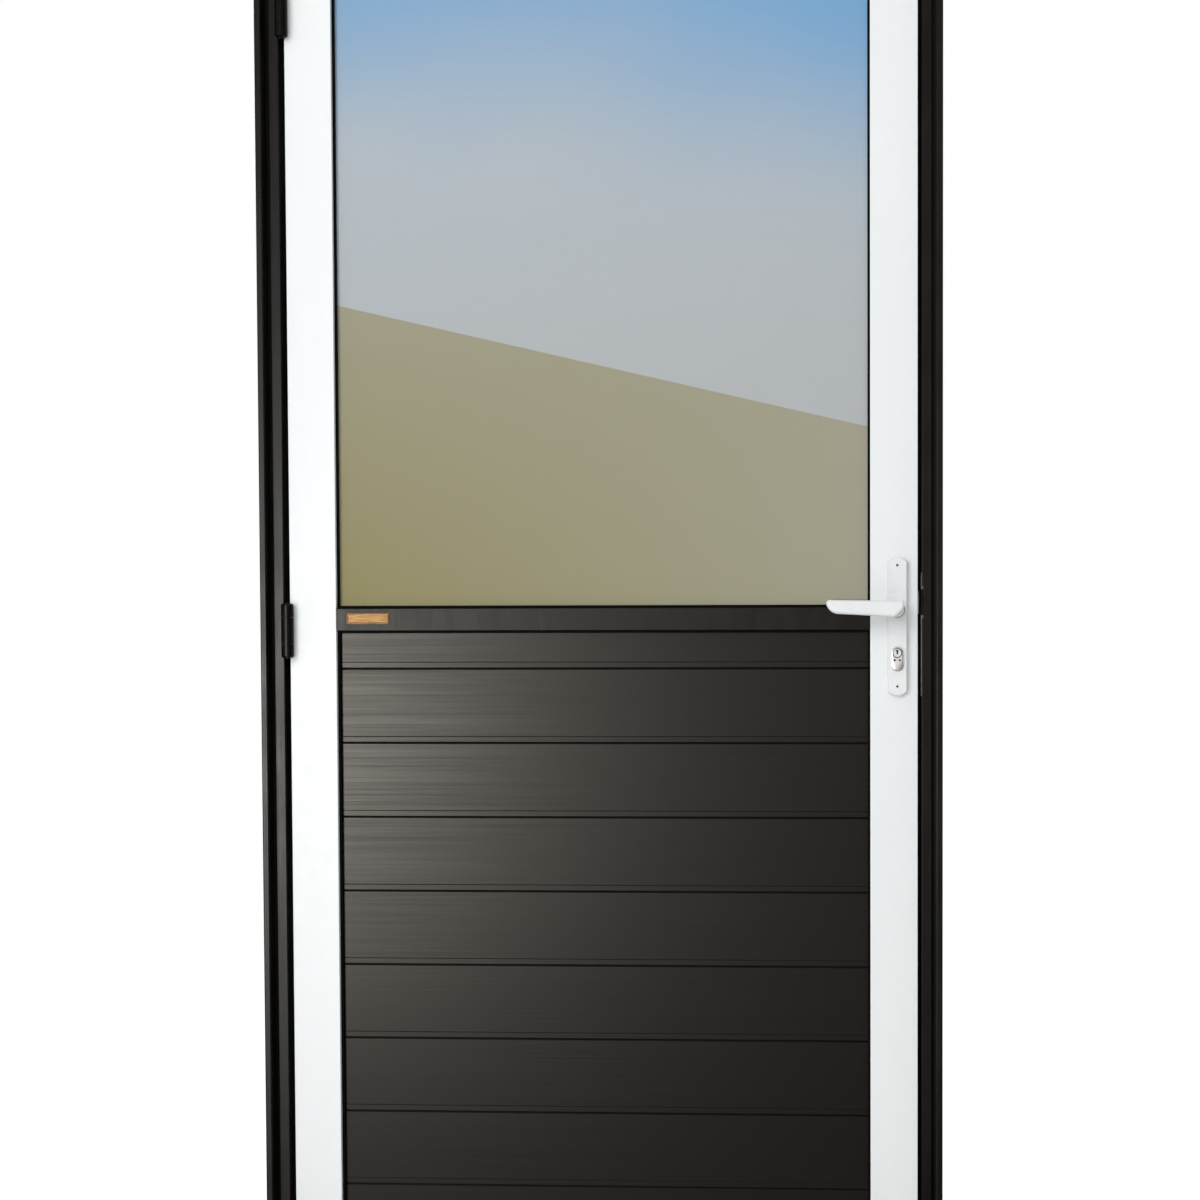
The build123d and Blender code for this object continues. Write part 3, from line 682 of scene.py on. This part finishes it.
class Rays:
    """The nodes of the room or the floor, which look different to the camera, to soft light and to gloss."""

    def __init__(self, tree, output):
        self.nodes = tree.nodes
        self.links = tree.links
        self.nodes.clear()
        self.seen = self.nodes.new("ShaderNodeLightPath").outputs
        self.output = self.nodes.new(output).inputs["Surface"]

    def glow(self, kind, strength):
        node = self.nodes.new(kind)
        node.inputs["Color"].default_value = (1, 1, 1, 1)
        node.inputs["Strength"].default_value = strength
        return node.outputs[0]

    def direct_look(self):
        """1 for what the camera sees straight or through glass, and 0 for soft light and gloss."""
        both = self.nodes.new("ShaderNodeMath")
        both.operation = "MAXIMUM"
        self.links.new(self.seen["Is Camera Ray"], both.inputs[0])
        self.links.new(self.seen["Is Transmission Ray"], both.inputs[1])
        return both.outputs[0]

    def part_of(self, share, part):
        node = self.nodes.new("ShaderNodeMath")
        node.operation = "MULTIPLY"
        node.inputs[1].default_value = part
        self.links.new(share, node.inputs[0])
        return node.outputs[0]

    def mix(self, share, first, second):
        """The first shader where the share is 0, and the second where it is 1."""
        node = self.nodes.new("ShaderNodeMixShader")
        for source, target in zip((share, first, second), node.inputs):
            self.links.new(source, target)
        return node.outputs[0]

    def finish(self, shader):
        self.links.new(shader, self.output)


def white_room():
    """An even white room, dimmer as a light than to the eye."""
    light_strength, seen_strength = 0.60, 1.0
    world = bpy.data.worlds.new("white_room")
    bpy.context.scene.world = world
    world.use_nodes = True
    room = Rays(world.node_tree, "ShaderNodeOutputWorld")
    light = room.glow("ShaderNodeBackground", light_strength)
    white = room.glow("ShaderNodeBackground", seen_strength)
    room.finish(room.mix(room.direct_look(), light, white))


def pale_floor():
    """A matte pale floor that keeps the door's shadow, brightened to the eye and nearly dark in a gloss."""
    size, just_below = 60, 2 * MM
    eye_glow, glow_share, gloss_glow = 1.35, 0.6, 0.03
    deselect()
    bpy.ops.mesh.primitive_plane_add(size=size, location=(middle_of("sill")[X], 0, -just_below))
    floor = bpy.context.object
    floor.name = "pale_floor"
    pale = bpy.data.materials.new("pale_floor")
    pale.use_nodes = True
    look = Rays(pale.node_tree, "ShaderNodeOutputMaterial")
    matte = look.nodes.new("ShaderNodeBsdfDiffuse")
    matte.inputs["Color"].default_value = (0.86, 0.86, 0.86, 1)
    share = look.part_of(look.direct_look(), glow_share)
    seen = look.mix(share, matte.outputs[0], look.glow("ShaderNodeEmission", eye_glow))
    look.finish(look.mix(look.seen["Is Glossy Ray"], seen, look.glow("ShaderNodeEmission", gloss_glow)))
    floor.data.materials.append(pale)


def soft_lamp(name, place, aim, width, height, power, lights_matte=True, shows_in_gloss=True):
    data = bpy.data.lights.new(name, "AREA")
    data.shape = "RECTANGLE"
    data.size = width
    data.size_y = height
    data.energy = power
    lamp = bpy.data.objects.new(name, data)
    bpy.context.scene.collection.objects.link(lamp)
    lamp.location = place
    lamp.rotation_mode = "QUATERNION"
    lamp.rotation_quaternion = (Vector(aim) - Vector(place)).to_track_quat("-Z", "Y")
    lamp.visible_diffuse = lights_matte
    lamp.visible_glossy = shows_in_gloss
    lamp.visible_transmission = False


def dark_card():
    """A black sheet to the right of the door that only a gloss shows."""
    place, height, depth = (2.3, -2.0, 1.2), 3.4, 3.0
    upright = (0, math.pi / 2, 0)
    deselect()
    bpy.ops.mesh.primitive_plane_add(size=1, location=place, rotation=upright)
    card = bpy.context.object
    card.name = "dark_card"
    card.scale = (height, depth, 1)
    black = bpy.data.materials.new("dark_card")
    black.use_nodes = True
    black.node_tree.nodes["Principled BSDF"].inputs["Base Color"].default_value = (0.01, 0.01, 0.01, 1)
    card.data.materials.append(black)
    card.visible_camera = False
    card.visible_diffuse = False
    card.visible_transmission = False
    card.visible_shadow = False


def camera():
    """A standing viewer's eye in front of the lock side, three and a half metres away, turned to the left."""
    place = (0.8473, -3.5, 1.1211)
    yaw, pitch, roll = (math.radians(degrees) for degrees in (-4.009, -2.617, 0.191))
    ahead = Vector((math.sin(yaw) * math.cos(pitch), math.cos(yaw) * math.cos(pitch), math.sin(pitch)))
    level = Vector((math.cos(yaw), -math.sin(yaw), 0))
    down = ahead.cross(level)
    right = math.cos(roll) * level + math.sin(roll) * down
    down = math.cos(roll) * down - math.sin(roll) * level
    eye = bpy.data.objects.new("eye", bpy.data.cameras.new("eye"))
    bpy.context.scene.collection.objects.link(eye)
    turn = Matrix((right, -down, -ahead)).transposed().to_4x4()
    eye.matrix_world = Matrix.Translation(place) @ turn
    eye.data.sensor_width = 36.0
    eye.data.lens = 80.05
    eye.data.shift_x = -0.0962
    eye.data.shift_y = 0.0813
    bpy.context.scene.camera = eye


white_room()
pale_floor()
soft_lamp("low_left_gloss_card", place=(-0.95, -3.2, 0.72), aim=(0.30, 0, 0.90),
          width=0.9, height=0.30, power=104, lights_matte=False)
soft_lamp("high_front_softbox", place=(-0.6, -3.3, 2.3), aim=(0.45, 0, 0.9),
          width=2.8, height=2.0, power=64, shows_in_gloss=False)
soft_lamp("back_softbox", place=(-1.6, 3.2, 2.6), aim=(0.45, 0, 1.0), width=1.6, height=1.2, power=45)
dark_card()
camera()
bpy.context.scene.view_settings.view_transform = "Standard"
